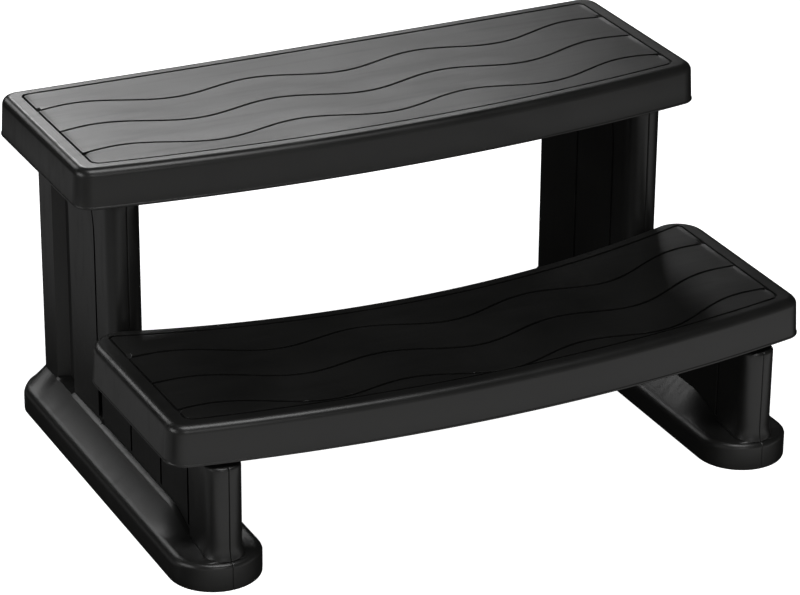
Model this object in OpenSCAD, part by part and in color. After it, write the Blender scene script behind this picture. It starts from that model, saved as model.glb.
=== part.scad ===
// Two-tread spa steps: two moulded treads carried by a pair of hollow side panels.
// Each side panel is an outer and an inner half shell screwed together at its mid-plane.
// Origin: centre of the footprint on the ground. +X right, +Y to the spa (back), +Z up.

/* [Overall] */
// Width of both treads, end to end
tread_w = 800; // [700:5:900]
// Height of the upper tread's top above the ground
upper_h = 401; // [385:1:420]
// Height of the lower tread's top above the ground
lower_h = 200; // [190:1:215]
// Depth of the whole object, front of the lower tread to back of the upper tread
overall_d = 572; // [565:1:580]

/* [Treads] */
// Depth of the upper tread at its ends
upper_d = 271; // [260:1:280]
// Bow of the upper tread's front edge
upper_front_bow = 35; // [20:1:40]
// Inward bow of the upper tread's back edge
upper_back_bow = 5; // [0:1:12]
// Depth of the lower tread at its ends
lower_d = 279.5; // [265:0.5:282]
// Bow of the lower tread's front edge
lower_front_bow = 41.5; // [30:0.5:45]
// Inward bow of the lower tread's back edge
lower_back_bow = 72.5; // [68:0.5:85]
// Depth of the skirt round each tread
skirt_h = 47.5; // [42:1:50]
// Plan radius of the treads' front corners
corner_r = 25; // [20:1:40]
// Plan radius of the lower tread's back corners
back_corner_r = 38; // [25:1:45]
// Radius along the treads' top edge
edge_r = 10; // [6:1:12]
// Wall thickness of the treads
tread_t = 4; // [3:0.5:5]
// Depth of the stiffening ribs under the treads
rib_h = 26; // [18:1:28]

/* [Side panels] */
// Distance from the middle of the object to each panel's mid-plane
panel_x = 338.5; // [325:0.5:342]
// Thickness of a side panel
panel_t = 42; // [40:1:46]
// Radius of the panels' upright front and back edges
panel_r = 19; // [14:1:19]
// Wall thickness of the half shells
shell_t = 3.5; // [3:0.25:4]
// Width of the runner foot
foot_w = 108; // [100:1:112]
// Height of the foot's rim
foot_h = 33; // [28:1:36]
// Radius along the foot's top edge
foot_r = 13; // [8:1:14]
// Pitch of the upright grooves in the panel faces
groove_pitch = 89; // [86:1:90]

/* [Screws] */
// Shank diameter of the screws
screw_d = 5; // [4:0.5:5]
// Head diameter of the screws
head_d = 10; // [9:0.5:11]

/* [Hidden] */
$fn = 48;

body_colour = [0.13, 0.13, 0.13];
tread_colour = [0.17, 0.17, 0.17];
screw_colour = [0.62, 0.62, 0.6];

half_w = tread_w / 2;
front_y = -overall_d / 2;
back_y = overall_d / 2;
draft = tan(4);

// Back-most wavy groove of each tread: its distance from the back edge, and its bow
upper_wave_in = 76.5;
upper_wave_bow = 21.5;
lower_wave_in = 87;
lower_wave_bow = 59;
// Each tread: [top height, front y at the ends, back y at the ends, front bow, back bow,
//              back-most wavy groove's y at the ends, bow of the wavy grooves, back corner radius]
upper = [upper_h, back_y - upper_d, back_y, upper_front_bow, upper_back_bow, back_y - upper_wave_in,
         upper_wave_bow, corner_r];
lower_front = front_y + lower_front_bow;
lower_back = lower_front + lower_d;
lower = [lower_h, lower_front, lower_back, lower_front_bow, lower_back_bow, lower_back - lower_wave_in,
         lower_wave_bow, back_corner_r];

function top_z(s) = s[0];
function bow(x) = 1 - pow(x / half_w, 2);
function front_edge(s, x) = s[1] - s[3] * bow(x);
function back_edge(s, x) = s[2] - s[4] * bow(x);
function mix(a, b, k) = a + (b - a) * k;
function tilt(edge_bow, x) = atan(2 * edge_bow * x / (half_w * half_w));

// Plan outline of a tread, moved in by d: bowed front and back, corners that meet the bows smoothly.
arc_n = 14;
corner_n = 6;
least_r = 3;
function corner(cx, cy, r, from, to) =
    [for (i = [0:corner_n]) let (a = mix(from, to, i / corner_n)) [cx + r * cos(a), cy + r * sin(a)]];
function edge_run(x0, x1) = [for (i = [1:arc_n - 1]) x0 + (x1 - x0) * i / arc_n];
function outline(s, d) =
    let (rf = max(corner_r - d, least_r),
         rb = max(s[7] - d, least_r),
         cf = half_w - corner_r,
         cb = half_w - s[7],
         af = tilt(s[3], cf),
         ab = tilt(s[4], cb),
         xf = cf + corner_r * sin(af),
         xb = cb - s[7] * sin(ab),
         yf = front_edge(s, xf) + corner_r * cos(af),
         yb = back_edge(s, xb) - s[7] * cos(ab))
    concat(corner(-cf, yf, rf, 180, 270 - af),
           [for (x = edge_run(-xf, xf)) let (a = tilt(s[3], x))
               [x - d * sin(a), front_edge(s, x) + d * cos(a)]],
           corner(cf, yf, rf, 270 + af, 360),
           corner(cb, yb, rb, 0, 90 + ab),
           [for (x = edge_run(xb, -xb)) let (a = tilt(s[4], x))
               [x + d * sin(a), back_edge(s, x) - d * cos(a)]],
           corner(-cb, yb, rb, 90 - ab, 180));

// Closed skin through rings of equal length, each ring a list of 3D points.
function middle(ring) =
    let (ys = [for (p = ring) p[1]]) [0, mix(min(ys), max(ys), 0.4), ring[0][2]];
module loft(rings) {
    n = len(rings[0]);
    m = len(rings);
    points = concat([for (ring = rings) each ring], [middle(rings[0]), middle(rings[m - 1])]);
    sides = [for (j = [0:m - 2], i = [0:n - 1])
             let (a = j * n + i, b = j * n + (i + 1) % n)
             each [[a, a + n, b], [a + n, b + n, b]]];
    bottom = [for (i = [0:n - 1]) [m * n, i, (i + 1) % n]];
    top = [for (i = [0:n - 1]) [m * n + 1, (m - 1) * n + (i + 1) % n, (m - 1) * n + i]];
    polyhedron(points, concat(sides, bottom, top), convexity = 8);
}

function ring(s, d, z) = [for (p = outline(s, d)) [p[0], p[1], z]];

edge_n = 4;
skirt_in = (skirt_h - edge_r) * draft;
module tread_outer(s) {
    z = top_z(s);
    loft(concat(
        [ring(s, 0, z - skirt_h)],
        [for (i = [0:edge_n]) let (a = 90 * i / edge_n)
            ring(s, skirt_in + edge_r * (1 - cos(a)), z - edge_r + edge_r * sin(a))]));
}

module tread_hollow(s) {
    z = top_z(s);
    loft([ring(s, tread_t, z - skirt_h - 1), ring(s, tread_t + skirt_in, z - edge_r),
          ring(s, skirt_in + edge_r, z - tread_t)]);
}

// Ribs that follow the treads' bow, and cross ribs between them.
long_ribs = 3;
cross_ribs = 5;
cross_pitch = 66;
rib_t = 2.5;
module rib_lines(s) {
    steps = 16;
    for (k = [1:long_ribs])
        for (i = [0:steps - 1]) {
            x0 = -half_w + tread_w * i / steps;
            x1 = -half_w + tread_w * (i + 1) / steps;
            f = k / (long_ribs + 1);
            y0 = mix(front_edge(s, x0), back_edge(s, x0), f);
            y1 = mix(front_edge(s, x1), back_edge(s, x1), f);
            polygon([[x0, y0 - rib_t / 2], [x1, y1 - rib_t / 2], [x1, y1 + rib_t / 2], [x0, y0 + rib_t / 2]]);
        }
    for (i = [-cross_ribs:cross_ribs])
        translate([i * cross_pitch - rib_t / 2, front_y])
            square([rib_t, overall_d]);
}
module ribs(s) {
    translate([0, 0, top_z(s) - tread_t - rib_h])
        linear_extrude(rib_h + 1)
            intersection() {
                rib_lines(s);
                polygon(outline(s, tread_t + 1));
            }
}

// Wavy grooves and the outline groove in a tread's top.
groove_w = 2.4;
groove_depth = 1.2;
wave_count = 3;
wave_pitch = 71;
wave_a = 12;
wave_len = 215;
wave_steps = 48;
end_in = 26;
side_in = 22;
function wave_y(s, k, x) = s[5] - k * wave_pitch - s[6] * bow(x) - wave_a * cos(360 * x / wave_len);
module wave_groove(s, k) {
    xe = half_w - side_in;
    xs = [for (i = [0:wave_steps]) mix(-xe, xe, i / wave_steps)];
    polygon(concat([for (x = xs) [x, wave_y(s, k, x) - groove_w / 2]],
                   [for (i = [wave_steps:-1:0]) [xs[i], wave_y(s, k, xs[i]) + groove_w / 2]]));
}
module top_panel(s, d) {
    intersection() {
        polygon(outline(s, side_in + d));
        square([2 * (half_w - end_in - d), 2 * overall_d], center = true);
    }
}
module top_grooves(s) {
    translate([0, 0, top_z(s) - groove_depth])
        linear_extrude(groove_depth + 1) {
            difference() {
                top_panel(s, 0);
                top_panel(s, groove_w);
            }
            intersection() {
                top_panel(s, groove_w / 2);
                for (k = [0:wave_count - 1])
                    wave_groove(s, k);
            }
        }
}

// Where a tread is screwed down: y of the lugs on each side panel.
upper_lugs = [back_y - 220, back_y - 52];
lower_lugs = [front_y + 82, front_y + 226];
lug_out = 13;
lug_r = 11;
lug_t = 5;
boss_r = 6.5;
pilot_r = screw_d / 2 - 0.2;
hole_r = screw_d / 2 + 0.25;
module lug_places(ys, side, outside) {
    for (y = ys, o = outside)
        translate([side * (panel_x + o * (panel_t / 2 + lug_out)), y, 0])
            children();
}

module tread(s, lugs) {
    seat = top_z(s) - tread_t - rib_h;
    difference() {
        union() {
            difference() {
                tread_outer(s);
                tread_hollow(s);
            }
            ribs(s);
            for (side = [-1, 1])
                lug_places(lugs, side, [-1, 1])
                    translate([0, 0, seat])
                        cylinder(r = boss_r, h = rib_h + 1);
        }
        for (side = [-1, 1])
            lug_places(lugs, side, [-1, 1])
                translate([0, 0, seat - 1])
                    cylinder(r = pilot_r, h = rib_h - 1);
        top_grooves(s);
    }
}
module upper_tread() { color(tread_colour) tread(upper, upper_lugs); }
module lower_tread() { color(tread_colour) tread(lower, lower_lugs); }

// Side panel, drawn for the right side with its mid-plane at x = 0 and the outside at +x.
leg_front = front_y + 27;
column_front = 24.5;
column_back = 269.5;
foot_front = front_y + 19;
foot_back = column_back + 2.5;
shoulder_drop = 5;
neck_in = 3.5;
neck_front = lower_front;
neck_back = 0.5;
lower_shoulder = lower_h - skirt_h - shoulder_drop;
upper_shoulder = upper_h - skirt_h - shoulder_drop;
lower_seat = lower_h - tread_t - rib_h;
upper_seat = upper_h - tread_t - rib_h;
first_groove = column_back - 107.5;
last_groove = 4;
column_grooves = 1;
flute_w = 3;
flute_d = 3;

module upright(y0, y1, d = 0) {
    r = panel_r - d;
    for (y = [y0 + d + r, y1 - d - r], x = [-1, 1])
        translate([x * (panel_t / 2 - d - r), y])
            circle(r);
    translate([-panel_t / 2 + d, y0 + d + r])
        square([panel_t - 2 * d, y1 - y0 - 2 * (d + r)]);
    translate([-panel_t / 2 + d + r, y0 + d])
        square([panel_t - 2 * (d + r), y1 - y0 - 2 * d]);
}
module flutes(last, grow = 0) {
    for (i = [0:last], x = [-1, 1])
        translate([x * (panel_t / 2), first_groove - i * groove_pitch])
            square([2 * (flute_d + grow), flute_w + 2 * grow], center = true);
}

// Sunk panel between the first two grooves of the outer face, and the cove behind it.
recess_d = 2.5;
cove_d = 9;
cove_floor = first_groove + 26;
cove_back = first_groove + 52;
cove_n = 6;
module recess(grow = 0) {
    face = panel_t / 2 - grow;
    second = first_groove - groove_pitch;
    polygon(concat(
        [[face + 1, second - grow], [face - recess_d, second - grow],
         [face - recess_d, first_groove], [face - cove_d, first_groove]],
        [for (i = [0:cove_n]) let (k = i / cove_n)
            [face - cove_d * (1 - smooth(k)), mix(cove_floor, cove_back, k)]],
        [[face + 1, cove_back]]));
}

module face_cuts(last, grow = 0) {
    flutes(last, grow);
    recess(grow);
}

module panel_solid() {
    linear_extrude(lower_shoulder)
        difference() {
            upright(leg_front, column_back);
            face_cuts(last_groove);
        }
    translate([0, 0, lower_shoulder - 1])
        linear_extrude(lower_seat - lower_shoulder + 1)
            upright(neck_front - neck_in, neck_back + neck_in, neck_in);
    linear_extrude(upper_shoulder)
        difference() {
            upright(column_front, column_back);
            face_cuts(column_grooves);
        }
    translate([0, 0, upper_shoulder - 1])
        linear_extrude(upper_seat - upper_shoulder + 1)
            upright(column_front, column_back, neck_in);
}
module panel_void() {
    t = shell_t;
    translate([0, 0, t])
        linear_extrude(lower_shoulder - 2 * t)
            difference() {
                upright(leg_front, column_back, t);
                face_cuts(last_groove, t);
            }
    translate([0, 0, lower_shoulder - t - 1])
        linear_extrude(lower_seat - lower_shoulder + 1)
            upright(neck_front - neck_in, neck_back + neck_in, neck_in + t);
    translate([0, 0, t])
        linear_extrude(upper_shoulder - 2 * t)
            difference() {
                upright(column_front, column_back, t);
                face_cuts(column_grooves, t);
            }
    translate([0, 0, upper_shoulder - t - 1])
        linear_extrude(upper_seat - upper_shoulder + 1)
            upright(column_front, column_back, neck_in + t);
}

// Runner foot: round front end, softer back end, and a ledge that sweeps up to the upright.
foot_back_r = 34;
sweep_side = 62;
sweep_front = foot_h + 1;
sweep_from = leg_front + 45;
sweep_to = leg_front + 100;
sink = 0.5;
turn_n = 8;
side_f = [0.06, 0.12, 0.18, 0.5, 0.9];
// Outline with round ends, moved in by d: front corners rf, back corners rb.
function turn(cx, cy, r, from) =
    [for (i = [0:turn_n]) let (a = from + 90 * i / turn_n) [cx + r * cos(a), cy + r * sin(a)]];
function pill(y0, y1, hw, rf, rb, d) =
    let (f = rf - d, b = rb - d, ya = y0 + rf, yb = y1 - rb, x = hw - d)
    concat(turn(-hw + rf, ya, f, 180),
           turn(hw - rf, ya, f, 270),
           [for (k = side_f) [x, mix(ya, yb, k)]],
           turn(hw - rb, yb, b, 0),
           turn(-hw + rb, yb, b, 90),
           [for (i = [len(side_f) - 1:-1:0]) [-x, mix(ya, yb, side_f[i])]]);
function foot_ring(d) = pill(foot_front, foot_back, foot_w / 2, foot_w / 2 - 1, foot_back_r, d);
function upright_ring(d) = pill(leg_front, column_back, panel_t / 2, panel_r, panel_r, d);
function smooth(k) = let (c = min(max(k, 0), 1)) c * c * (3 - 2 * c);
function sweep_top(y) = mix(sweep_front, sweep_side, smooth((y - sweep_from) / (sweep_to - sweep_from)));
function level(ring, z) = [for (p = ring) [p[0], p[1], z]];

// Solid of the foot with its surface moved in by d; rim and sweep are the steps of its curves.
module foot_solid(d, rim, sweep) {
    rim_ring = foot_ring(foot_r + d * 0.7);
    top_ring = upright_ring(d + sink);
    rim_z = foot_h - d;
    loft(concat(
        [level(foot_ring(d), d)],
        [for (i = [0:rim - 1]) let (a = 90 * i / rim)
            level(foot_ring(d + (foot_r - 0.3 * d) * (1 - cos(a))),
                  rim_z - foot_r + foot_r * sin(a))],
        [for (j = [0:sweep]) let (a = 90 * j / sweep)
            [for (i = [0:len(top_ring) - 1])
                [mix(rim_ring[i][0], top_ring[i][0], sin(a)),
                 mix(rim_ring[i][1], top_ring[i][1], sin(a)),
                 mix(rim_z, sweep_top(top_ring[i][1]) - d, 1 - cos(a))]]],
        [level(upright_ring(d + 2 * sink), sweep_side - d + 1)]));
}

// Screws that join the two shells: [y, z] in the upright.
low_row = 100;
middle_row = 215;
high_row = 330;
rear_line = column_back - 51;
front_line = column_front + 25;
leg_line = leg_front + 33;
shell_screws = [
    for (y = [rear_line, front_line], z = [low_row, middle_row, high_row]) [y, z],
    for (i = [2, 3]) [first_groove - (i + 0.5) * groove_pitch, low_row],
    [leg_line, low_row]
];
shell_boss_r = 7;
cup_r = head_d / 2 + 0.75;
cup_depth = 6;
head_h = 3.5;
module each_shell_screw() {
    for (p = shell_screws)
        translate([0, p[0], p[1]])
            rotate([0, 90, 0])
                children();
}

module lugs(ys, z, out) {
    for (y = ys)
        translate([0, 0, z - lug_t])
            linear_extrude(lug_t) {
                translate([out * (panel_t / 2 + lug_out), y])
                    circle(lug_r);
                translate([out * (panel_t + 2 * lug_out - 2 * neck_in - shell_t) / 4, y])
                    square([lug_out + neck_in + shell_t / 2, 2 * lug_r], center = true);
            }
}
module lug_holes(out) {
    for (y = upper_lugs)
        translate([out * (panel_t / 2 + lug_out), y, upper_seat - 10])
            cylinder(r = hole_r, h = 20);
    for (y = lower_lugs)
        translate([out * (panel_t / 2 + lug_out), y, lower_seat - 10])
            cylinder(r = hole_r, h = 20);
}
reach = 600;
module half_space(out) {
    translate([out > 0 ? -reach : 0, -reach, -reach])
        cube([reach, 2 * reach, 3 * reach]);
}

// out = 1 for the half shell on the outside, -1 for the one towards the middle.
module shell(out) {
    difference() {
        union() {
            difference() {
                union() {
                    panel_solid();
                    foot_solid(0, 4, 5);
                }
                panel_void();
                foot_solid(shell_t, 2, 3);
            }
            each_shell_screw()
                translate([0, 0, out > 0 ? 0 : -panel_t / 2 + 1])
                    cylinder(r = shell_boss_r, h = panel_t / 2 - 1);
            lugs(upper_lugs, upper_seat, out);
            lugs(lower_lugs, lower_seat, out);
        }
        half_space(out);
        lug_holes(out);
        each_shell_screw()
            if (out > 0) {
                translate([0, 0, -1])
                    cylinder(r = pilot_r, h = panel_t / 2 - 3);
            } else {
                translate([0, 0, -panel_t])
                    cylinder(r = hole_r, h = 2 * panel_t);
                translate([0, 0, -panel_t])
                    cylinder(r = cup_r, h = panel_t / 2 + cup_depth);
            }
    }
}

module at_side(side) {
    translate([side * panel_x, 0, 0])
        if (side > 0) {
            children();
        } else {
            mirror([1, 0, 0]) children();
        }
}
module left_outer_shell() { color(body_colour) at_side(-1) shell(1); }
module left_inner_shell() { color(body_colour) at_side(-1) shell(-1); }
module right_outer_shell() { color(body_colour) at_side(1) shell(1); }
module right_inner_shell() { color(body_colour) at_side(1) shell(-1); }

// Pan-head screw along +Z, the underside of its head at z = 0.
drive_d = 3.2;
drive_depth = 2.6;
module screw(length) {
    difference() {
        union() {
            translate([0, 0, -head_h])
                cylinder(d = head_d, h = head_h);
            cylinder(r = pilot_r, h = length);
        }
        translate([0, 0, -head_h - 1])
            cylinder(d = drive_d, h = drive_depth, $fn = 6);
    }
}
shell_screw_l = 32;
tread_screw_l = 22;
module shell_screws(side) {
    color(screw_colour)
        at_side(side)
            each_shell_screw()
                translate([0, 0, -panel_t / 2 + cup_depth])
                    screw(shell_screw_l);
}
module tread_screws(ys, z, side) {
    color(screw_colour)
        lug_places(ys, side, [-1, 1])
            translate([0, 0, z - lug_t])
                screw(tread_screw_l);
}
module left_shell_screws() { shell_screws(-1); }
module right_shell_screws() { shell_screws(1); }
module upper_tread_left_screws() { tread_screws(upper_lugs, upper_seat, -1); }
module upper_tread_right_screws() { tread_screws(upper_lugs, upper_seat, 1); }
module lower_tread_left_screws() { tread_screws(lower_lugs, lower_seat, -1); }
module lower_tread_right_screws() { tread_screws(lower_lugs, lower_seat, 1); }

upper_tread();
lower_tread();
left_outer_shell();
left_inner_shell();
right_outer_shell();
right_inner_shell();
left_shell_screws();
right_shell_screws();
upper_tread_left_screws();
upper_tread_right_screws();
lower_tread_left_screws();
lower_tread_right_screws();
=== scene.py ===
"""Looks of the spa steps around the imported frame: two moulded treads, four half shells and their screws."""

import math

import bmesh
import bpy
from mathutils import Matrix, Vector


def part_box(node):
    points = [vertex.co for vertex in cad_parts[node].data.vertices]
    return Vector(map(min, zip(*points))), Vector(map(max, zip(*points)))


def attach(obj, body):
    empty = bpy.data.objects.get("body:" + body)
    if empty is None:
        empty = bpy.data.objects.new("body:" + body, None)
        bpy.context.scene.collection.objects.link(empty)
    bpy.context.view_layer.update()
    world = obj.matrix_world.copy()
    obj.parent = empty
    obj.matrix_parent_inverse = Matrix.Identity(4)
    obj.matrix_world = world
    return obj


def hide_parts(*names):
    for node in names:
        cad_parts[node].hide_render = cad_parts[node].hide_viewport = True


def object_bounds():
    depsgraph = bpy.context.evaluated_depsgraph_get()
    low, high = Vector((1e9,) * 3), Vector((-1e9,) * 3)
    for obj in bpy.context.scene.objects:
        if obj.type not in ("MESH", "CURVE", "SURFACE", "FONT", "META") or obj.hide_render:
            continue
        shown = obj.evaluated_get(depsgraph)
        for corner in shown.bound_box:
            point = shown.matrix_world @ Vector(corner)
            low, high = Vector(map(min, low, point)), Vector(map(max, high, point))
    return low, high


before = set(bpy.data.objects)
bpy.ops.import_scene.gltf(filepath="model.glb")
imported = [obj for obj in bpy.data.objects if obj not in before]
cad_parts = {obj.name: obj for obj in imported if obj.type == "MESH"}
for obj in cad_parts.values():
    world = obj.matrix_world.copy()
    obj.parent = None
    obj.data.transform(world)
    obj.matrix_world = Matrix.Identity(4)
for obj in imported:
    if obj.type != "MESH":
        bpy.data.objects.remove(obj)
cad_lo, cad_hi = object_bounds()


# ---------------------------------------------------------------- camera
CAMERA_AT = Vector((-1.64986, -3.34147, 1.90447))
CAMERA_AZIMUTH = math.radians(-26.1914)
CAMERA_ELEVATION = math.radians(24.8771)
CAMERA_ROLL = math.radians(0.4732)
CAMERA_LENS = 156.658


def make_camera():
    """The scene's camera, with no shift and no depth of field."""
    az, el = CAMERA_AZIMUTH, CAMERA_ELEVATION
    back = Vector((math.sin(az) * math.cos(el), -math.cos(az) * math.cos(el), math.sin(el)))
    right = (-back).cross(Vector((0, 0, 1))).normalized()
    up = right.cross(-back)
    c, s = math.cos(CAMERA_ROLL), math.sin(CAMERA_ROLL)
    axes = Matrix((c * right + s * up, c * up - s * right, back)).transposed()
    data = bpy.data.cameras.new("camera")
    data.lens = CAMERA_LENS
    data.sensor_width = 36
    data.clip_start, data.clip_end = 0.05, 60
    cam = bpy.data.objects.new("camera", data)
    bpy.context.collection.objects.link(cam)
    cam.matrix_world = Matrix.Translation(CAMERA_AT) @ axes.to_4x4()
    bpy.context.scene.camera = cam


make_camera()


# ---------------------------------------------------------------- small helpers
MM = 0.001
MERGE_GAP = 0.002 * MM


def mix(a, b, k):
    return a + (b - a) * k


def smooth(k):
    """0 below 0, 1 above 1, and a soft step between."""
    k = min(max(k, 0.0), 1.0)
    return k * k * (3 - 2 * k)


def spread(a, b, n):
    """n + 1 even values from a to b."""
    return [mix(a, b, i / n) for i in range(n + 1)]


def arc(start, end, n):
    """n + 1 even angles in radians, from start to end degrees."""
    return [math.radians(a) for a in spread(start, end, n)]


def thinned(values, gap):
    """Sorted values with none closer to the one before than gap."""
    out = []
    for v in sorted(values):
        if not out or v - out[-1] > gap:
            out.append(v)
    return out


def new_piece(name, bm, material, replaced, sharp=32):
    """Turns a bmesh into a piece that rides on the root body and stands for one CAD node."""
    bmesh.ops.remove_doubles(bm, verts=bm.verts, dist=MERGE_GAP)
    bmesh.ops.recalc_face_normals(bm, faces=bm.faces)
    mesh = bpy.data.meshes.new(name)
    bm.to_mesh(mesh)
    bm.free()
    mesh.shade_smooth()
    mesh.set_sharp_from_angle(angle=math.radians(sharp))
    piece = bpy.data.objects.new(name, mesh)
    bpy.context.collection.objects.link(piece)
    piece.data.materials.append(material)
    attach(piece, "root")
    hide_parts(replaced)
    return piece


def add_grid(bm, rows):
    """Faces between successive rows of points, all rows of one length. Returns the vertices."""
    made = [[bm.verts.new(p) for p in row] for row in rows]
    for a, b in zip(made, made[1:]):
        join_rows(bm, a, b)
    return made


def join_loops(bm, low, high):
    """Faces between two closed loops of vertices."""
    n = len(low)
    for i in range(n):
        j = (i + 1) % n
        bm.faces.new((low[i], low[j], high[j], high[i]))


def join_rows(bm, low, high):
    """Faces between two open rows of vertices."""
    for i in range(len(low) - 1):
        bm.faces.new((low[i], low[i + 1], high[i + 1], high[i]))


def add_rings(bm, loop, rings):
    """Faces from a closed loop of vertices outward through rings of points. Returns the last loop."""
    for ring in rings:
        nxt = [bm.verts.new(p) for p in ring]
        join_loops(bm, loop, nxt)
        loop = nxt
    return loop


# ---------------------------------------------------------------- materials
class Nodes:
    """A material's nodes, with short calls to add and join them."""

    def __init__(self, name):
        self.material = bpy.data.materials.new(name)
        self.material.use_nodes = True
        self.tree = self.material.node_tree
        self.shader = self.tree.nodes["Principled BSDF"]

    def add(self, kind, links=None, **values):
        node = self.tree.nodes.new("ShaderNode" + kind)
        for key, value in values.items():
            setattr(node, key, value)
        for socket, source in (links or {}).items():
            if isinstance(source, bpy.types.NodeSocket):
                self.tree.links.new(source, node.inputs[socket])
            else:
                node.inputs[socket].default_value = source
        return node

    def join(self, source, socket):
        self.tree.links.new(source, self.shader.inputs[socket])

    def point(self):
        return self.add("TexCoord").outputs["Object"]

    def noise(self, scale, detail=3, where=None):
        where = where or self.point()
        node = self.add("TexNoise", {"Vector": where, "Scale": scale, "Detail": detail})
        return node.outputs["Fac"]

    def ranged(self, value, lo, hi, out_lo, out_hi):
        node = self.add("MapRange", {"Value": value, "From Min": lo, "From Max": hi,
                                     "To Min": out_lo, "To Max": out_hi})
        return node.outputs["Result"]

    def maths(self, operation, a, b=0.0):
        return self.add("Math", {0: a, 1: b}, operation=operation).outputs[0]

    def ramp(self, value, low, high):
        node = self.add("Mix", {0: value, 6: (*low, 1), 7: (*high, 1)}, data_type="RGBA")
        return node.outputs[2]

    def bump(self, height, distance, strength=1.0, normal=None):
        links = {"Height": height, "Distance": distance, "Strength": strength}
        if normal is not None:
            links["Normal"] = normal
        return self.add("Bump", links).outputs["Normal"]


def edge_wear(nodes, radius):
    """1 on convex edges, 0 on flats, broken up by noise."""
    bevel = nodes.add("Bevel", {"Radius": radius}, samples=4)
    plain = nodes.add("NewGeometry")
    dot = nodes.add("VectorMath", {0: bevel.outputs["Normal"], 1: plain.outputs["Normal"]},
                    operation="DOT_PRODUCT")
    worn = nodes.ranged(dot.outputs["Value"], 0.995, 0.93, 0.0, 1.0)
    broken = nodes.ranged(nodes.noise(38, 5), 0.42, 0.62, 0.0, 1.0)
    return nodes.maths("MULTIPLY", worn, broken)


BLACK_DARK = (0.008, 0.0081, 0.0078)
BLACK_LIGHT = (0.013, 0.013, 0.0125)
WORN_LIGHTER = 1.9
WORN_RADIUS = 1.2 * MM
GRAIN = 0.05 * MM
RIPPLE = 0.9 * MM


def plastic(name, rough):
    """Black moulded plastic: mottled colour, uneven gloss, fine mould grain and slight sink ripples."""
    nodes = Nodes(name)
    mottle = nodes.noise(9, 4)
    specks = nodes.noise(420, 2)
    scuffs = nodes.add("TexNoise", {"Vector": nodes.add("Mapping", {
        "Vector": nodes.point(), "Scale": (6, 90, 20)}).outputs[0], "Scale": 1.0, "Detail": 6})
    worn = edge_wear(nodes, WORN_RADIUS)
    shade = nodes.maths("ADD", nodes.ranged(mottle, 0.3, 0.7, 0.0, 0.75),
                        nodes.ranged(specks, 0.45, 0.75, 0.0, 0.25))
    colour = nodes.ramp(shade, BLACK_DARK, BLACK_LIGHT)
    worn_colour = tuple(c * WORN_LIGHTER for c in BLACK_LIGHT)
    mixed = nodes.add("Mix", {0: nodes.maths("MULTIPLY", worn, 0.55), 6: colour, 7: (*worn_colour, 1)},
                      data_type="RGBA")
    nodes.join(mixed.outputs[2], "Base Color")
    gloss = nodes.maths("ADD", nodes.ranged(mottle, 0.3, 0.7, rough - 0.03, rough + 0.04),
                        nodes.ranged(scuffs.outputs["Fac"], 0.5, 0.72, 0.0, 0.07))
    nodes.join(nodes.maths("ADD", gloss, nodes.maths("MULTIPLY", worn, 0.06)), "Roughness")
    ripple = nodes.bump(nodes.noise(14, 1), RIPPLE, 0.35)
    fine = nodes.bump(nodes.noise(950, 2), GRAIN, 0.55, ripple)
    nodes.join(fine, "Normal")
    nodes.shader.inputs["IOR"].default_value = 1.5
    nodes.shader.inputs["Specular IOR Level"].default_value = 0.5
    return nodes.material


def steel(name):
    """Stainless steel with a fine noise bump and a slightly uneven tone and polish."""
    nodes = Nodes(name)
    nodes.shader.inputs["Metallic"].default_value = 1.0
    tone = nodes.noise(160, 4)
    nodes.join(nodes.ramp(tone, (0.42, 0.41, 0.39), (0.62, 0.61, 0.59)), "Base Color")
    nodes.join(nodes.ranged(tone, 0.3, 0.7, 0.24, 0.4), "Roughness")
    nodes.join(nodes.bump(nodes.noise(1400, 2), 0.03 * MM, 0.6), "Normal")
    return nodes.material


tread_black = plastic("tread_black", 0.33)
panel_black = plastic("panel_black", 0.34)
screw_steel = steel("screw_steel")


# ---------------------------------------------------------------- treads
EDGE_R = 10 * MM
DRAFT = math.tan(math.radians(4))
WALL = 4 * MM
BEAD = 0.8 * MM
BEAD_H = 3.2 * MM
FRONT_CORNER = 25 * MM
END_IN = 26 * MM
SIDE_IN = 22 * MM
PANEL_CORNER = 9 * MM
STRIP_CORNER = 1.5 * MM
GROOVE_HALF = 1.4 * MM
GROOVE_LIP = 0.75 * MM
GROOVE_DEPTH = 3.2 * MM
GROOVE_LEAN = 0.5
NEAR_GROOVE = (-1.9, -1.5, -1.2, -0.9, -0.6, -0.3, 0.3, 0.6, 0.9, 1.2, 1.5, 1.9)
INSIDE_GROOVE = (2.6, 3.6, 4.8, 6.2, 7.8, 9.6)
NEAR_END = (-12, -10.5, -9, -7.5, -6, -5, -4, -3.1, -2.4, -1.9, -1.5, -1.1, -0.7, -0.2, 0.3, 0.7, 1.1, 1.5,
            2.0, 2.8)
LAP = 0.55 * MM
LAP_FADE = 8 * MM
FOLD = 0.14 * MM
FOLD_FADE = 60 * MM
WAVE_A = 12 * MM
WAVE_LEN = 215 * MM
WAVE_PITCH = 71 * MM
RIB_H = 26 * MM
RIB_T = 2.5 * MM
LONG_RIBS = 3
CROSS_RIBS = 5
CROSS_PITCH = 66 * MM
BOSS_R = 6.5 * MM


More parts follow.
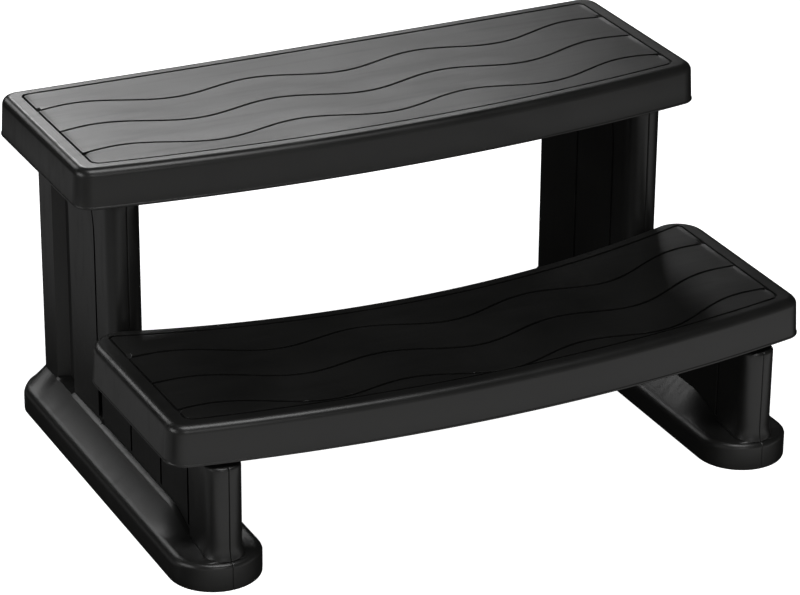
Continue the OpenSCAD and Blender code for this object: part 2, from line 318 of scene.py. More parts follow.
class Tread:
    """Plan curves and top relief of one tread, worked out from its CAD box."""

    def __init__(self, node, front_bow, back_bow, back_corner, first_wave, wave_bow):
        self.node = node
        self.lo, self.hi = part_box(node)
        self.half = self.hi[0]
        self.top, self.bottom = self.hi[2], self.lo[2]
        self.front_bow, self.back_bow = front_bow, back_bow
        self.front_r, self.back_r = FRONT_CORNER, back_corner
        self.front_end = self.lo[1] + front_bow
        self.back_end = 0.0
        self.back_end = self.hi[1] - self.corner_at(False)[1] - back_corner
        self.first_wave, self.wave_bow = self.back_end - first_wave, wave_bow
        self.skirt_in = (self.top - self.bottom - EDGE_R) * DRAFT
        self.inset = self.skirt_in + EDGE_R

    def bow(self, x):
        return 1 - (x / self.half) ** 2

    def front(self, x):
        return self.front_end - self.front_bow * self.bow(x)

    def back(self, x):
        return self.back_end - self.back_bow * self.bow(x)

    def wave(self, k, x):
        swing = WAVE_A * math.cos(2 * math.pi * x / WAVE_LEN)
        return self.first_wave - k * WAVE_PITCH - self.wave_bow * self.bow(x) - swing

    def tilt(self, x, at_front):
        """Angle of the bowed edge to the X axis."""
        bow = self.front_bow if at_front else self.back_bow
        return math.atan(2 * bow * x / self.half**2)

    def corner_at(self, at_front):
        """Centre of the corner arc at +x, and its tilt where it meets the bowed edge."""
        r = self.front_r if at_front else self.back_r
        x = self.half - r
        tilt = self.tilt(x, at_front)
        if at_front:
            return x, self.front(x + r * math.sin(tilt)) + r * math.cos(tilt), tilt
        return x, self.back(x - r * math.sin(tilt)) - r * math.cos(tilt), tilt

    def bowed(self, x, d, at_front):
        """The point of the bowed edge moved in by d whose x is the given one: (x, y, edge x, tilt)."""
        way = 1 if at_front else -1
        at = x
        for _ in range(4):
            at = x + way * d * math.sin(self.tilt(at, at_front))
        tilt = self.tilt(at, at_front)
        y = self.front(at) if at_front else self.back(at)
        return x, y + way * d * math.cos(tilt), at, tilt

    def edge_y(self, x, d, at_front):
        """y of the outline, moved in by d, at column x."""
        r = self.front_r if at_front else self.back_r
        way = 1 if at_front else -1
        cx, cy, tilt = self.corner_at(at_front)
        if abs(x) <= cx + way * (r - d) * math.sin(tilt):
            return self.bowed(x, d, at_front)[1]
        rise = math.sqrt(max((r - d) ** 2 - (abs(x) - cx) ** 2, 0.0))
        return cy - way * rise

    def outward(self, p, d_from, d_to):
        """A point of the outline moved in by d_from, taken to the outline moved in by d_to."""
        x, y = p
        side = math.copysign(1, x)
        front_y, back_y = self.corner_at(True)[1], self.corner_at(False)[1]
        at_front = y < (front_y + back_y) / 2
        r = self.front_r if at_front else self.back_r
        way = 1 if at_front else -1
        cx, cy, tilt = self.corner_at(at_front)
        if abs(x) <= cx + way * (r - d_from) * math.sin(tilt) + 0.01 * MM:
            _, _, at, angle = self.bowed(x, d_from, at_front)
            shift = d_to - d_from
            return x - way * shift * math.sin(angle), y + way * shift * math.cos(angle)
        if way * (cy - y) > 0:
            k = (r - d_to) / (r - d_from)
            return side * (cx + (abs(x) - cx) * k), cy + (y - cy) * k
        return side * (self.half - d_to), y

    def lines(self, x):
        """y of the outline groove's front, the three waves and the outline groove's back."""
        waves = [self.wave(k, x) for k in (2, 1, 0)]
        return [self.front(x) + SIDE_IN] + waves + [self.back(x) - SIDE_IN]

    def groove(self, x, y):
        """Depth of the top's grooves at a point: 0 on the strips and the border."""
        ends = abs(x) - (self.half - END_IN)
        lines = self.lines(x)
        nearest = -rounded(ends, max(lines[0] - y, y - lines[-1]), PANEL_CORNER)
        slope = WAVE_A * 2 * math.pi / WAVE_LEN * math.sin(2 * math.pi * x / WAVE_LEN)
        true = 1 / math.sqrt(1 + slope**2)
        for i in range(4):
            lower, upper = lines[i] - y, y - lines[i + 1]
            lower *= true if i > 0 else 1
            upper *= true if i < 3 else 1
            strip = rounded(ends, max(lower, upper), PANEL_CORNER if i in (0, 3) else STRIP_CORNER)
            nearest = min(nearest, strip)
        return GROOVE_DEPTH * smooth((nearest + GROOVE_HALF) / GROOVE_LIP)

    def lap(self, x, y):
        """How far a strip's surface lies below the top: each strip rises to its front edge."""
        inside = self.half - END_IN - abs(x)
        if inside < 0:
            return 0.0
        lines = self.lines(x)
        for i in range(4):
            if lines[i] <= y <= lines[i + 1]:
                t = (y - lines[i]) / (lines[i + 1] - lines[i])
                fold = FOLD * smooth((t - 0.5) / 0.06) * smooth(inside / FOLD_FADE) if i in (1, 2) else 0.0
                return (LAP * smooth(t) + fold) * smooth(inside / LAP_FADE)
        return 0.0

    def columns(self):
        """x of the grid's columns: dense at the corners and at the end grooves."""
        wide = self.half - self.inset
        arc_r = max(self.front_r, self.back_r) - self.inset
        arcs = [wide - arc_r * (1 - math.sin(s)) for s in arc(0, 90, 14)]
        line = self.half - END_IN
        fine = [line + o * MM for o in NEAR_END]
        plain = spread(0, line - 14 * MM, 90)
        right = thinned([wide] + [v for v in plain + arcs + fine if v < wide - 0.25 * MM], 0.24 * MM)
        return [-v for v in reversed(right[1:])] + right

    def rows(self, x):
        """y of the grid's rows at column x: they follow the outline, the outline groove and the waves."""
        lo, hi = self.edge_y(x, self.inset, True), self.edge_y(x, self.inset, False)
        squeeze = 2.6 * MM
        front = max(self.front(x) + SIDE_IN, lo + squeeze)
        back = min(self.back(x) - SIDE_IN, hi - squeeze)
        out = spread(lo, front - 2.1 * MM, 4)
        out += [front + o * MM for o in NEAR_GROOVE + INSIDE_GROOVE]
        for y in self.lines(x)[1:-1]:
            out += spread(out[-1], y - 2.3 * MM, 9)[1:]
            out += [y + o * MM for o in NEAR_GROOVE]
        out += spread(out[-1], back - 10.6 * MM, 7)[1:]
        out += [back - o * MM for o in reversed(INSIDE_GROOVE)]
        out += [back + o * MM for o in NEAR_GROOVE]
        out += spread(back + 2.1 * MM, hi, 4)
        return sorted(out)


def rounded(a, b, r):
    """Signed distance to a corner where two edges at distances a and b meet with radius r."""
    qa, qb = a + r, b + r
    return math.hypot(max(qa, 0.0), max(qb, 0.0)) + min(max(qa, qb), 0.0) - r


def tread_skin(bm, t):
    """Top relief, edge radius, skirt, rim and the wall's inside, as one closed skin."""
    grid = []
    for x in t.columns():
        row = []
        for y in t.rows(x):
            cut = t.groove(x, y)
            row.append((x, y + GROOVE_LEAN * cut, t.top - cut - t.lap(x, y)))
        grid.append(row)
    made = add_grid(bm, grid)
    loop = [row[0] for row in made] + made[-1][1:]
    loop += [row[-1] for row in reversed(made[:-1])] + list(reversed(made[0][1:-1]))

    def ring(d, z):
        return [(*t.outward((v.co.x, v.co.y), t.inset, d), z) for v in loop]

    rings = []
    for s in arc(90, 0, 9)[1:]:
        rings.append(ring(t.skirt_in + EDGE_R * (1 - math.cos(s)), t.top - EDGE_R * (1 - math.sin(s))))
    base = t.bottom + BEAD_H
    for k in (0.33, 0.66, 0.97):
        z = mix(t.top - EDGE_R, base, k)
        rings.append(ring(mix(t.skirt_in, BEAD, k), z))
    inner = WALL + t.skirt_in
    for d, z in ((BEAD * 0.85, base - 0.1 * MM), (BEAD * 0.2, base - 0.7 * MM), (0.0, base - 1.2 * MM),
                 (0.0, t.bottom + 0.8 * MM), (0.25 * MM, t.bottom + 0.25 * MM), (0.8 * MM, t.bottom),
                 (WALL - 0.8 * MM, t.bottom), (WALL, t.bottom + 0.8 * MM), (inner, t.top - EDGE_R),
                 (inner + 1.5 * MM, t.top - WALL - 1.5 * MM), (inner + 3 * MM, t.top - WALL)):
        rings.append(ring(d, z))
    last = add_rings(bm, loop, rings)
    bm.faces.new(last)


def add_prism(bm, outline, z0, z1, taper):
    """A closed prism with a slightly narrower foot, from a flat outline of (x, y, nx, ny)."""
    low = [bm.verts.new((x - nx * taper, y - ny * taper, z0)) for x, y, nx, ny in outline]
    high = [bm.verts.new((x, y, z1)) for x, y, _, _ in outline]
    join_loops(bm, low, high)
    bm.faces.new(list(reversed(low)))
    bm.faces.new(high)


def tread_ribs(bm, t, lug_places):
    """Ribs along and across the underside, and a screw boss over each lug."""
    z1 = t.top - WALL + 0.3 * MM
    z0 = z1 - RIB_H - 0.3 * MM
    taper = 0.5 * MM
    reach = t.half - t.inset + 1 * MM
    w = RIB_T / 2
    for k in range(1, LONG_RIBS + 1):
        middle = [(x, mix(t.front(x), t.back(x), k / (LONG_RIBS + 1))) for x in spread(-reach, reach, 40)]
        outline = [(x, y - w, 0, -1) for x, y in middle] + [(x, y + w, 0, 1) for x, y in reversed(middle)]
        add_prism(bm, outline, z0, z1, taper)
    for i in range(-CROSS_RIBS, CROSS_RIBS + 1):
        x = i * CROSS_PITCH
        y0, y1 = t.front(x) + t.inset - WALL, t.back(x) - t.inset + WALL
        add_prism(bm, [(x - w, y0, -1, 0), (x + w, y0, 1, 0), (x + w, y1, 1, 0), (x - w, y1, -1, 0)],
                  z0, z1, taper)
    circle = [(math.cos(a), math.sin(a)) for a in spread(0, 2 * math.pi, 28)[:-1]]
    for x, y in lug_places:
        add_prism(bm, [(x + BOSS_R * c, y + BOSS_R * s, c, s) for c, s in circle], z0, z1, taper)


def screw_places(node):
    """Centres of the screws in a CAD node, from its separate solids."""
    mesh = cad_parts[node].data
    bm = bmesh.new()
    bm.from_mesh(mesh)
    bmesh.ops.remove_doubles(bm, verts=bm.verts, dist=0.001 * MM)
    left, places = set(bm.verts), []
    while left:
        stack, island = [left.pop()], []
        while stack:
            v = stack.pop()
            island.append(v.co.copy())
            for e in v.link_edges:
                w = e.other_vert(v)
                if w in left:
                    left.discard(w)
                    stack.append(w)
        lo = Vector([min(c[i] for c in island) for i in range(3)])
        hi = Vector([max(c[i] for c in island) for i in range(3)])
        places.append((lo + hi) / 2)
    bm.free()
    return places


def make_tread(name, t):
    """One tread with its ribs, and a boss over each of its screws."""
    bm = bmesh.new()
    tread_skin(bm, t)
    lugs = [p for side in ("left", "right") for p in screw_places(f"{t.node}_{side}_screws")]
    tread_ribs(bm, t, [(p.x, p.y) for p in lugs])
    return new_piece(name, bm, tread_black, t.node)


upper = Tread("upper_tread", front_bow=35 * MM, back_bow=5 * MM, back_corner=25 * MM,
              first_wave=76.5 * MM, wave_bow=21.5 * MM)
lower = Tread("lower_tread", front_bow=41.5 * MM, back_bow=72.5 * MM, back_corner=38 * MM,
              first_wave=87 * MM, wave_bow=59 * MM)
make_tread("upper_tread_moulding", upper)
make_tread("lower_tread_moulding", lower)


# ---------------------------------------------------------------- side panels
shell_lo, shell_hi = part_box("right_outer_shell")
PANEL_X = shell_lo[0]
PANEL_HALF = 21 * MM
PANEL_R = 19 * MM
FOOT_HALF = shell_hi[0] - PANEL_X
FOOT_FRONT, FOOT_BACK = shell_lo[1], shell_hi[1]
LEG_FRONT = FOOT_FRONT + 8 * MM
COLUMN_BACK = FOOT_BACK - 2.5 * MM
COLUMN_FRONT = COLUMN_BACK - 245 * MM
FOOT_H = 33 * MM
FOOT_R = 13 * MM
FOOT_BACK_R = 34 * MM
SWEEP_SIDE = 54 * MM
POST_DROP = 6 * MM
SWEEP_FRONT = 34.5 * MM
SHOULDER_DROP = 5 * MM
SHOULDER_R = 3.5 * MM
NECK_IN = 3.5 * MM
FIRST_GROOVE = COLUMN_BACK - 107.5 * MM
GROOVE_PITCH = 89 * MM
FLUTE_DEPTH = 7 * MM
FLUTE_HALF = 1.9 * MM
FLUTE_LIP = 0.4 * MM
POST_SLOT = 6.2 * MM
PANEL_SINK = 3.2 * MM
POST_FROM = 105 * MM
POST_BLEND = 36 * MM
SLOT_LEAN = 1.3
COVE_D = 14 * MM
COVE_FLOOR = FIRST_GROOVE + 42 * MM
COVE_BACK = FIRST_GROOVE + 50 * MM
SLOT_FRONT = FIRST_GROOVE + 14 * MM
SLOT_BACK = FIRST_GROOVE + 30 * MM
SLOT_D = 4 * MM
REAR_SINK = 2 * MM
FRONT_RIM = 6 * MM
BACK_RIM = 1.8 * MM
RIM_TURN_FRONT = math.radians(87)
RIM_TURN_SIDE = math.radians(62)
LEDGE_CURVE = 0.15
COLLAR = 3.2 * MM
COLLAR_H = 15 * MM
SEAM_GAP = -0.03 * MM
SEAM_R = 1.1 * MM
SEAM_DEPTH = 1.5 * MM
SEAM_LIP = 0.35 * MM
STEP_EDGE = 0.5 * MM
LEDGE = 4.2 * MM
CORNER_C = PANEL_HALF - PANEL_R
SHOULDER_TURN = (30, 60, 90)
LEG_TOP = lower.bottom - SHOULDER_DROP
COLUMN_TOP = upper.bottom - SHOULDER_DROP
NECK_TOP = RIB_H + WALL
NECK_FRONT, NECK_BACK = lower.front_end, 0.5 * MM
NECK_R = 12 * MM
LUG_T = 5 * MM
LUG_R = 11 * MM
LUG_OUT = 13 * MM
LUG_EDGE = 0.8 * MM
NEAR_FLUTE = (-6, -4.5, -3.4, -2.8, -2.5, -2.3, -2.1, -1.9, -1.4, -0.8, -0.2, 0, 0.2, 0.4, 0.6, 0.8, 1.4, 1.9,
              2.1, 2.3, 2.5, 2.8, 3.4, 4.6, 6, 8, 10, 11.2, 11.6, 11.8, 12.0, 12.2, 12.4, 12.7, 13.2, 15)
NEAR_STEP = (-1.5, -0.6, 0, 0.25, 0.5, 0.9, 1.8)


class HalfShell:
    """Relief of one half shell: u is the distance out from the panel's mid-plane."""

    def __init__(self, outer):
        self.outer = outer
        self.grooves = [FIRST_GROOVE - i * GROOVE_PITCH for i in range(5)]

    def face_depth(self, y, z):
        """How far the face lies in from the full thickness, apart from the flutes."""
        if not self.outer:
            return 0.0
        first, second, last = self.grooves[0], self.grooves[1], self.grooves[4]
        if second < y < first:
            sink = mix(PANEL_SINK, REAR_SINK, (y - second) / (first - second))
            return sink * smooth((y - second) / STEP_EDGE)
        if last < y <= second:
            post = smooth((z - POST_FROM) / POST_BLEND) * smooth((y - COLUMN_FRONT) / (20 * MM) + 1)
            return PANEL_SINK * smooth((y - last) / STEP_EDGE) * (1 - post)
        if first <= y:
            cove = COVE_D * min(max((COVE_BACK - y) / (COVE_BACK - COVE_FLOOR), 0.0), 1.0)
            behind = smooth((y - SLOT_BACK) / STEP_EDGE)
            slot = SLOT_D * (1 - behind) * smooth((y - SLOT_FRONT) / STEP_EDGE)
            return mix(REAR_SINK, cove + slot, smooth((y - first) / STEP_EDGE))
        return 0.0

    def flute(self, y):
        """Depth of the upright grooves at y: wide ones behind the posts, and narrow ones."""
        for i, g in enumerate(self.grooves):
            if i == 0 and self.outer:
                continue
            behind_post = self.outer and i in (1, 4)
            middle, half = (g + POST_SLOT, POST_SLOT - FLUTE_LIP) if behind_post else (g, FLUTE_HALF)
            away = abs(y - middle) - half
            if away < 1 * MM:
                return FLUTE_DEPTH * (1 - smooth(away / FLUTE_LIP))
        return 0.0


def face_ys(y0, y1, grooves):
    """y of the points along the flat of a panel: dense at the flutes and steps."""
    ys = [g + o * MM for g in grooves for o in NEAR_FLUTE] + spread(y0, y1, 60)
    ys += [edge + o * MM for edge in (SLOT_FRONT, SLOT_BACK, COVE_FLOOR, COVE_BACK) for o in NEAR_STEP]
    return thinned([y for y in ys if y0 + 0.3 * MM < y < y1 - 0.3 * MM], 0.15 * MM)


def front_round(y_front, angles):
    """(u, y) of an upright's front, from the seam round the corner, at the given angles."""
    line = [(SEAM_GAP, y_front + SEAM_DEPTH), (SEAM_R * 0.5, y_front + SEAM_LIP), (SEAM_R, y_front)]
    return line + [(CORNER_C + PANEL_R * math.sin(s), y_front + PANEL_R * (1 - math.cos(s))) for s in angles]


def upright_line(y_front, y_back, grooves):
    """(u, y) of the upright's plan outline from the front seam to the back seam."""
    line = front_round(y_front, arc(0, 90, 12))
    line += [(PANEL_HALF, y) for y in face_ys(y_front + PANEL_R, y_back - PANEL_R, grooves)]
    for s in arc(90, 0, 12):
        line.append((CORNER_C + PANEL_R * math.sin(s), y_back - PANEL_R * (1 - math.cos(s))))
    return line + [(SEAM_R, y_back), (SEAM_R * 0.5, y_back - SEAM_LIP), (SEAM_GAP, y_back - SEAM_DEPTH)]


def foot_point(u, y, d):
    """The point of the foot's outline, moved in by d, that belongs to a point of the upright's outline."""
    front_c, back_c = FOOT_FRONT + FOOT_HALF, FOOT_BACK - FOOT_BACK_R
    arc_end, arc_start = LEG_FRONT + PANEL_R, COLUMN_BACK - PANEL_R
    if y < front_c:
        join = math.acos((front_c - arc_end) / FOOT_HALF)
        if y <= arc_end:
            part = math.atan2(max(u - CORNER_C, 0.0), max(arc_end - y, 0.0)) / (math.pi / 2)
            part = mix(part, u / PANEL_HALF, 0.35 * (1 - part))
            a = join * part
        else:
            a = math.acos((front_c - y) / FOOT_HALF)
        r = FOOT_HALF - d
        x, out_y = r * math.sin(a), front_c - r * math.cos(a)
        return (max(x, u if u < SEAM_R else 0.0), out_y + seam_dip(u))
    if y > back_c:
        r = FOOT_BACK_R
        c = FOOT_HALF - r
        join = math.asin(min((arc_start - back_c) / r, 1.0))
        if y >= arc_start:
            if u < CORNER_C:
                return u / CORNER_C * c if u > SEAM_R else u, FOOT_BACK - d - seam_dip(u)
            part = math.atan2(max(y - arc_start, 0.0), max(u - CORNER_C, 1e-9)) / (math.pi / 2)
            a = mix(join, math.pi / 2, part)
        else:
            a = math.asin((y - back_c) / r)
        r -= d
        return c + r * math.cos(a), back_c + r * math.sin(a)
    return FOOT_HALF - d, y


def seam_dip(u):
    """The seam's small V: how far the surface falls back where the halves meet."""
    if u >= SEAM_R:
        return 0.0
    return 0.9 * MM * ((SEAM_R - u) / (SEAM_R - SEAM_GAP)) ** 2


def sweep_top(y):
    """Height at which the foot's ledge meets the upright."""
    side = SWEEP_SIDE - POST_DROP * smooth((y - COVE_FLOOR) / (30 * MM))
    return mix(SWEEP_FRONT, side, smooth((y - LEG_FRONT - 45 * MM) / (75 * MM)))


def drift(y, z):
    """The column's grooves lean back near the top, where the posts flare to the tread."""
    lean = 11 * MM * smooth((z - COLUMN_TOP + 75 * MM) / (75 * MM)) ** 2
    room = min(smooth((y - COLUMN_FRONT - 22 * MM) / (30 * MM)), smooth((COVE_BACK - y) / (20 * MM)))
    return lean * room


def carved(shell, u, y, z, amount=1.0, at=None):
    """A point of the upright with its flute and recess cut in. at is its place on the plain outline."""
    line_u, line_y = (u, y) if at is None else at
    if line_u < PANEL_HALF - 0.01 * MM:
        return u, y, z
    flute = amount * shell.flute(line_y)
    lean = SLOT_LEAN if shell.outer else 0.0
    return u - flute - shell.face_depth(line_y, z), y + lean * flute, z


def rim_radius(u, y):
    """Radius of the foot's top edge: tighter round the two ends, where the upright stands close to it."""
    back = COLUMN_BACK - PANEL_R
    if y > back:
        turn = math.atan2(y - back, max(u - CORNER_C, 1e-9)) / (math.pi / 2)
        return mix(FOOT_R, BACK_RIM, smooth(turn))
    return mix(FRONT_RIM, FOOT_R, smooth((y - LEG_FRONT - 4 * MM) / (45 * MM)))


def steepness(y):
    """0 where the ledge is flat, at the front, to 1 where it climbs to the upright."""
    return (sweep_top(y) - SWEEP_FRONT) / (SWEEP_SIDE - SWEEP_FRONT)


def collar(u, y, height):
    """The leg's outline flares a little round its front at the foot. height is above the flare's foot."""
    near = smooth((LEG_FRONT + 40 * MM - y) / (26 * MM))
    out = COLLAR * near * max(1 - height / COLLAR_H, 0.0) ** 2
    arc_end = LEG_FRONT + PANEL_R
    if y < arc_end and u > CORNER_C:
        k = 1 + out / PANEL_R
        return CORNER_C + (u - CORNER_C) * k, arc_end + (y - arc_end) * k
    if y < arc_end:
        return u, y - out
    return u + out, y


def lower_body(bm, shell, line):
    """Foot, ledge and the upright up to the leg's shoulder. Returns the rows of vertices."""
    rows = []
    for d, z in ((1.0 * MM, 0.0), (0.3 * MM, 0.3 * MM), (0.0, 1.0 * MM), (0.0, 9 * MM)):
        rows.append([(*foot_point(u, y, d), z) for u, y in line])
    for k in spread(0, 1, 10):
        row = []
        for u, y in line:
            r = rim_radius(u, y)
            s = k * mix(RIM_TURN_FRONT, RIM_TURN_SIDE, steepness(y))
            x, foot_y = foot_point(u, y, r * (1 - math.cos(s)))
            row.append((x, foot_y, FOOT_H - r + r * math.sin(s)))
        rows.append(row)
    rim = rows[-1]
    for along in spread(0, 1, 16)[1:]:
        row = []
        for (fx, fy, fz), (u, y) in zip(rim, line):
            wu, wy = collar(u, y, 0.0)
            rise = mix(along, along**2, LEDGE_CURVE)
            if along == 1:
                wu = carved(shell, wu, wy, sweep_top(y), 0.0, (u, y))[0]
            row.append((mix(fx, wu, along), mix(fy, wy, along), mix(fz, sweep_top(y), rise)))
        rows.append(row)

    def wall_row(extra, amount, sink=0.0):
        """A row this far above the ledge: amount is the flutes' share of their full depth."""
        row = []
        for u, y in line:
            wu, wy = collar(u, y, max(extra, 0.0))
            wu -= sink if u > SEAM_R else 0.0
            row.append(carved(shell, wu, wy, sweep_top(y) + extra, amount, (u, y)))
        rows.append(row)

    wall_row(-0.6 * MM, 0.0, 0.7 * MM)
    wall_row(0.3 * MM, 0.0, 0.5 * MM)
    for extra in (0.8 * MM, 2.2 * MM, LEDGE):
        wall_row(extra, 0.0)
    wall_row(LEDGE + 0.4 * MM, 0.8)
    wall_row(LEDGE + 1.3 * MM, 1.0)
    for extra in (7, 9.5, 12.5, 16, 20):
        wall_row(extra * MM, 1.0)
    high = LEG_TOP - SHOULDER_R
    for k in spread(0, 1, 8)[1:]:
        rows.append([carved(shell, u, y, mix(sweep_top(y) + 20 * MM, high, k)) for u, y in line])
    return add_grid(bm, rows)


def close_to_plane(bm):
    """Closes a half shell's open side with a flat face just inside the seam."""
    e = 1.2 * MM
    outline = [(FOOT_FRONT + e, e), (FOOT_BACK - e, e), (FOOT_BACK - e, FOOT_H),
               (COLUMN_BACK - e, FOOT_H + 8 * MM),
               (COLUMN_BACK - e, COLUMN_TOP - e), (COLUMN_FRONT + e, COLUMN_TOP - e),
               (COLUMN_FRONT + e, LEG_TOP - e), (LEG_FRONT + e, LEG_TOP - e), (LEG_FRONT + e, FOOT_H - e),
               (FOOT_FRONT + e, FOOT_H - 2 * e)]
    bm.faces.new([bm.verts.new((SEAM_GAP, y, z)) for y, z in outline])


def shoulder_steps(top):
    """(distance in, height) of the rows of a shoulder's small round, below top."""
    turn = [math.radians(a) for a in SHOULDER_TURN]
    return [(SHOULDER_R * (1 - math.cos(s)), top - SHOULDER_R * (1 - math.sin(s))) for s in turn]


def shoulder_point(u, y, back, z):
    """A point of the leg's outline moved in by back, at height z."""
    arc_end = LEG_FRONT + PANEL_R
    if y < arc_end and u > CORNER_C:
        k = 1 - back / PANEL_R
        return CORNER_C + (u - CORNER_C) * k, arc_end + (y - arc_end) * k, z
    if y < arc_end:
        return u, y + back, z
    return u - back, y, z


def add_leg_top(bm, first):
    """The leg's shoulder, from its top row of vertices: a small round, then flat in to the mid-plane."""
    leg = [(v.co.x, v.co.y) for v in first]
    rows = [[shoulder_point(u, y, back, z) for u, y in leg] for back, z in shoulder_steps(LEG_TOP)]
    rows.append([(SEAM_GAP, p[1], LEG_TOP) for p in rows[-1]])
    for row in rows:
        nxt = [bm.verts.new(p) for p in row]
        join_rows(bm, first, nxt)
        first = nxt


def add_column(bm, shell, side_line):
    """The column: its front round stands on the leg's top, the rest carries on from the wall below."""
    outline = front_round(COLUMN_FRONT, arc(0, 90, 12)[:-1]) + side_line
    high = COLUMN_TOP - SHOULDER_R
    levels = [LEG_TOP - SHOULDER_R, LEG_TOP + 2 * MM]
    levels += spread(LEG_TOP + 40 * MM, high - 80 * MM, 3) + spread(high - 70 * MM, high, 12)
    rows = [[carved(shell, u, y + drift(y, z), z, 1.0, (u, y)) for u, y in outline] for z in levels]
    for back, z in shoulder_steps(COLUMN_TOP):
        row = [carved(shell, u, y + drift(y, high), z, 1.0, (u, y)) for u, y in outline]
        rows.append([shrink(u, y, back, z) for u, y, _ in row])
    for z in (COLUMN_TOP, upper.top - NECK_TOP):
        rows.append([shrink(min(u, PANEL_HALF), y, NECK_IN + 1.0 * MM, z) for u, y in outline])
    top = add_grid(bm, rows)[-1]
    join_rows(bm, top, [bm.verts.new((SEAM_GAP, v.co.y, v.co.z)) for v in top])


def shrink(u, y, d, z):
    """A point of the column's outline moved in by d, at height z."""
    for centre, past in ((COLUMN_FRONT + PANEL_R, y < COLUMN_FRONT + PANEL_R),
                         (COLUMN_BACK - PANEL_R, y > COLUMN_BACK - PANEL_R)):
        if past and u > CORNER_C:
            k = 1 - d / PANEL_R
            return CORNER_C + (u - CORNER_C) * k, centre + (y - centre) * k, z
        if past:
            return u, y + math.copysign(d, centre - y), z
    return max(u - d, 0.004), y, z


def add_neck(bm):
    """The narrower neck on the leg's top, inside the lower tread."""
    centre = PANEL_HALF - NECK_IN - NECK_R
    outline = [(SEAM_GAP, NECK_FRONT)]
    for s in arc(0, 90, 6):
        outline.append((centre + NECK_R * math.sin(s), NECK_FRONT + NECK_R * (1 - math.cos(s))))
    for s in arc(90, 0, 6):
        outline.append((centre + NECK_R * math.sin(s), NECK_BACK - NECK_R * (1 - math.cos(s))))
    outline.append((SEAM_GAP, NECK_BACK))
    low = [bm.verts.new((u, y, LEG_TOP - 1 * MM)) for u, y in outline]
    high = [bm.verts.new((u, y, lower.top - NECK_TOP)) for u, y in outline]
    join_loops(bm, low, high)
    bm.faces.new(high)
    bm.faces.new(list(reversed(low)))


def add_lug(bm, y, z):
    """A flat lug out of the neck, with a rounded end."""
    reach = PANEL_HALF + LUG_OUT
    root = PANEL_HALF - NECK_IN - 1 * MM
    outline = [(root, y - LUG_R)]
    outline += [(reach + LUG_R * math.cos(a), y + LUG_R * math.sin(a)) for a in arc(-90, 90, 14)]
    outline.append((root, y + LUG_R))
    loops = []
    for d, level in ((LUG_EDGE, z - LUG_T), (0, z - LUG_T + LUG_EDGE), (0, z - LUG_EDGE), (LUG_EDGE, z)):
        k = 1 - d / LUG_R
        loops.append([bm.verts.new((reach + (u - reach) * (k if u > reach else 1), y + (v - y) * k, level))
                      for u, v in outline])
    for a, b in zip(loops, loops[1:]):
        join_loops(bm, a, b)
    bm.faces.new(list(reversed(loops[0])))
    bm.faces.new(loops[-1])


def make_shell(name, node, side, outer):
    """One half shell. side is -1 for the left panel, 1 for the right; outer half or inner half."""
    shell = HalfShell(outer)
    bm = bmesh.new()
    line = upright_line(LEG_FRONT, COLUMN_BACK, shell.grooves)
    body = lower_body(bm, shell, line)
    side_start = COLUMN_FRONT + PANEL_R - 0.01 * MM
    split = next(i for i, (u, y) in enumerate(line) if y > side_start)
    add_leg_top(bm, body[-1][:split + 1])
    add_column(bm, shell, line[split:])
    base = [bm.verts.new((SEAM_GAP, v.co.y, 0.0)) for v in body[0]]
    join_rows(bm, base, body[0])
    add_neck(bm)
    close_to_plane(bm)
    for tread, word in ((upper, "upper"), (lower, "lower")):
        places = screw_places(f"{word}_tread_right_screws")
        for y in sorted({round(p.y, 4) for p in places}):
            add_lug(bm, y, tread.top - NECK_TOP)
    way = 1 if outer else -1
    for v in bm.verts:
        v.co.x = side * (PANEL_X + way * v.co.x)
    return new_piece(name, bm, panel_black, node, sharp=38)


for side, word in ((-1, "left"), (1, "right")):
    for outer, half in ((True, "outer"), (False, "inner")):
        node = f"{word}_{half}_shell"
        make_shell(f"{node}_moulding", node, side, outer)


# ---------------------------------------------------------------- screws
for node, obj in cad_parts.items():
    if "screws" in node:
        obj.data.materials.clear()
        obj.data.materials.append(screw_steel)


# ---------------------------------------------------------------- floor and light
FLOOR_FLAT = 6.0
FLOOR_RISE = 5.0


def make_floor():
    """A round floor that curves up far out, so that every view from inside it ends on it."""
    bm = bmesh.new()
    section = [(0.001, 0.0), (FLOOR_FLAT, 0.0)]
    for a in spread(0, math.pi / 2, 16)[1:]:
        section.append((FLOOR_FLAT + FLOOR_RISE * math.sin(a), FLOOR_RISE * (1 - math.cos(a))))
    turns = spread(0, 2 * math.pi, 96)
    add_grid(bm, [[(r * math.cos(a), r * math.sin(a), z) for r, z in section] for a in turns])
    bmesh.ops.remove_doubles(bm, verts=bm.verts, dist=0.01 * MM)
    bmesh.ops.recalc_face_normals(bm, faces=bm.faces)
    mesh = bpy.data.meshes.new("floor")
    bm.to_mesh(mesh)
    bm.free()
    mesh.shade_smooth()
    floor = bpy.data.objects.new("floor", mesh)
    bpy.context.collection.objects.link(floor)
    nodes = Nodes("floor_paper")
    nodes.join(nodes.ramp(nodes.noise(3, 2), (0.88, 0.88, 0.88), (0.9, 0.9, 0.9)), "Base Color")
    nodes.shader.inputs["Roughness"].default_value = 0.9
    nodes.shader.inputs["Specular IOR Level"].default_value = 0.0
    nodes.shader.inputs["Emission Color"].default_value = (1, 1, 1, 1)
    nodes.shader.inputs["Emission Strength"].default_value = 1.0
    floor.data.materials.append(nodes.material)
    floor.visible_glossy = floor.visible_diffuse = floor.visible_shadow = False


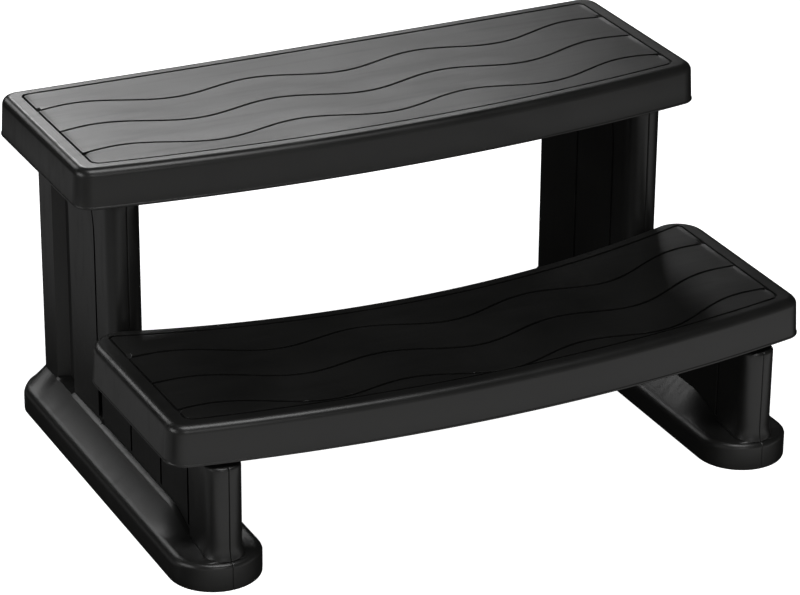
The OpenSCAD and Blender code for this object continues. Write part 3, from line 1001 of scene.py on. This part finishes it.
def area_light(name, at, target, size, radiance):
    """A rectangular softbox. Its power follows from its size and the radiance wanted."""
    data = bpy.data.lights.new(name, "AREA")
    data.shape = "RECTANGLE"
    data.size, data.size_y = size
    data.energy = radiance * math.pi * size[0] * size[1]
    light = bpy.data.objects.new(name, data)
    bpy.context.collection.objects.link(light)
    light.location = at
    light.rotation_euler = (Vector(target) - Vector(at)).to_track_quat("-Z", "Y").to_euler()


def make_world():
    """Dark surroundings with a soft pale field in front."""
    world = bpy.data.worlds.new("studio")
    bpy.context.scene.world = world
    world.use_nodes = True
    tree = world.node_tree
    background = tree.nodes["Background"]
    split = tree.nodes.new("ShaderNodeSeparateXYZ")
    tree.links.new(tree.nodes.new("ShaderNodeTexCoord").outputs["Generated"], split.inputs[0])
    both = tree.nodes.new("ShaderNodeMath")
    both.operation = "MULTIPLY"
    for i, axis, limits in ((0, "Y", (0.15, -0.75, 0.012, WORLD_FRONT)), (1, "Z", (0.1, 0.6, 1.0, 0.15))):
        field = tree.nodes.new("ShaderNodeMapRange")
        field.interpolation_type = "SMOOTHSTEP"
        tree.links.new(split.outputs[axis], field.inputs["Value"])
        for key, value in zip(("From Min", "From Max", "To Min", "To Max"), limits):
            field.inputs[key].default_value = value
        tree.links.new(field.outputs[0], both.inputs[i])
    tree.links.new(both.outputs[0], background.inputs["Strength"])
    background.inputs["Color"].default_value = (1, 0.985, 0.96, 1)


CARD_Z = -20 * MM
WORLD_FRONT = 0.2
make_floor()
make_world()
bpy.context.scene.view_settings.view_transform = "Standard"
centre = (cad_lo + cad_hi) / 2
area_light("back", (1.4, 3.3, 2.3), centre, (1.0, 0.7), 5.6)
area_light("back_left_end", (0.5, 3.3, 2.3), centre, (0.5, 0.7), 18.0)
area_light("back_left", (-1.3, 3.0, 1.85), centre, (1.2, 0.9), 3.3)
area_light("left", (-2.9, 0.0, 0.9), centre, (1.6, 1.1), 3.4)
area_light("front", (-0.9, -3.3, 1.5), centre, (1.6, 1.0), 2.6)
area_light("top", (-0.3, -0.9, 2.6), centre, (1.6, 1.0), 7.0)
area_light("left_card", (-0.93, 0.55, CARD_Z), (-0.93, 0.55, 1), (0.85, 1.5), 0.2)
area_light("front_card", (0.3, -0.95, CARD_Z), (0.3, -0.95, 1), (2.2, 1.2), 0.5)
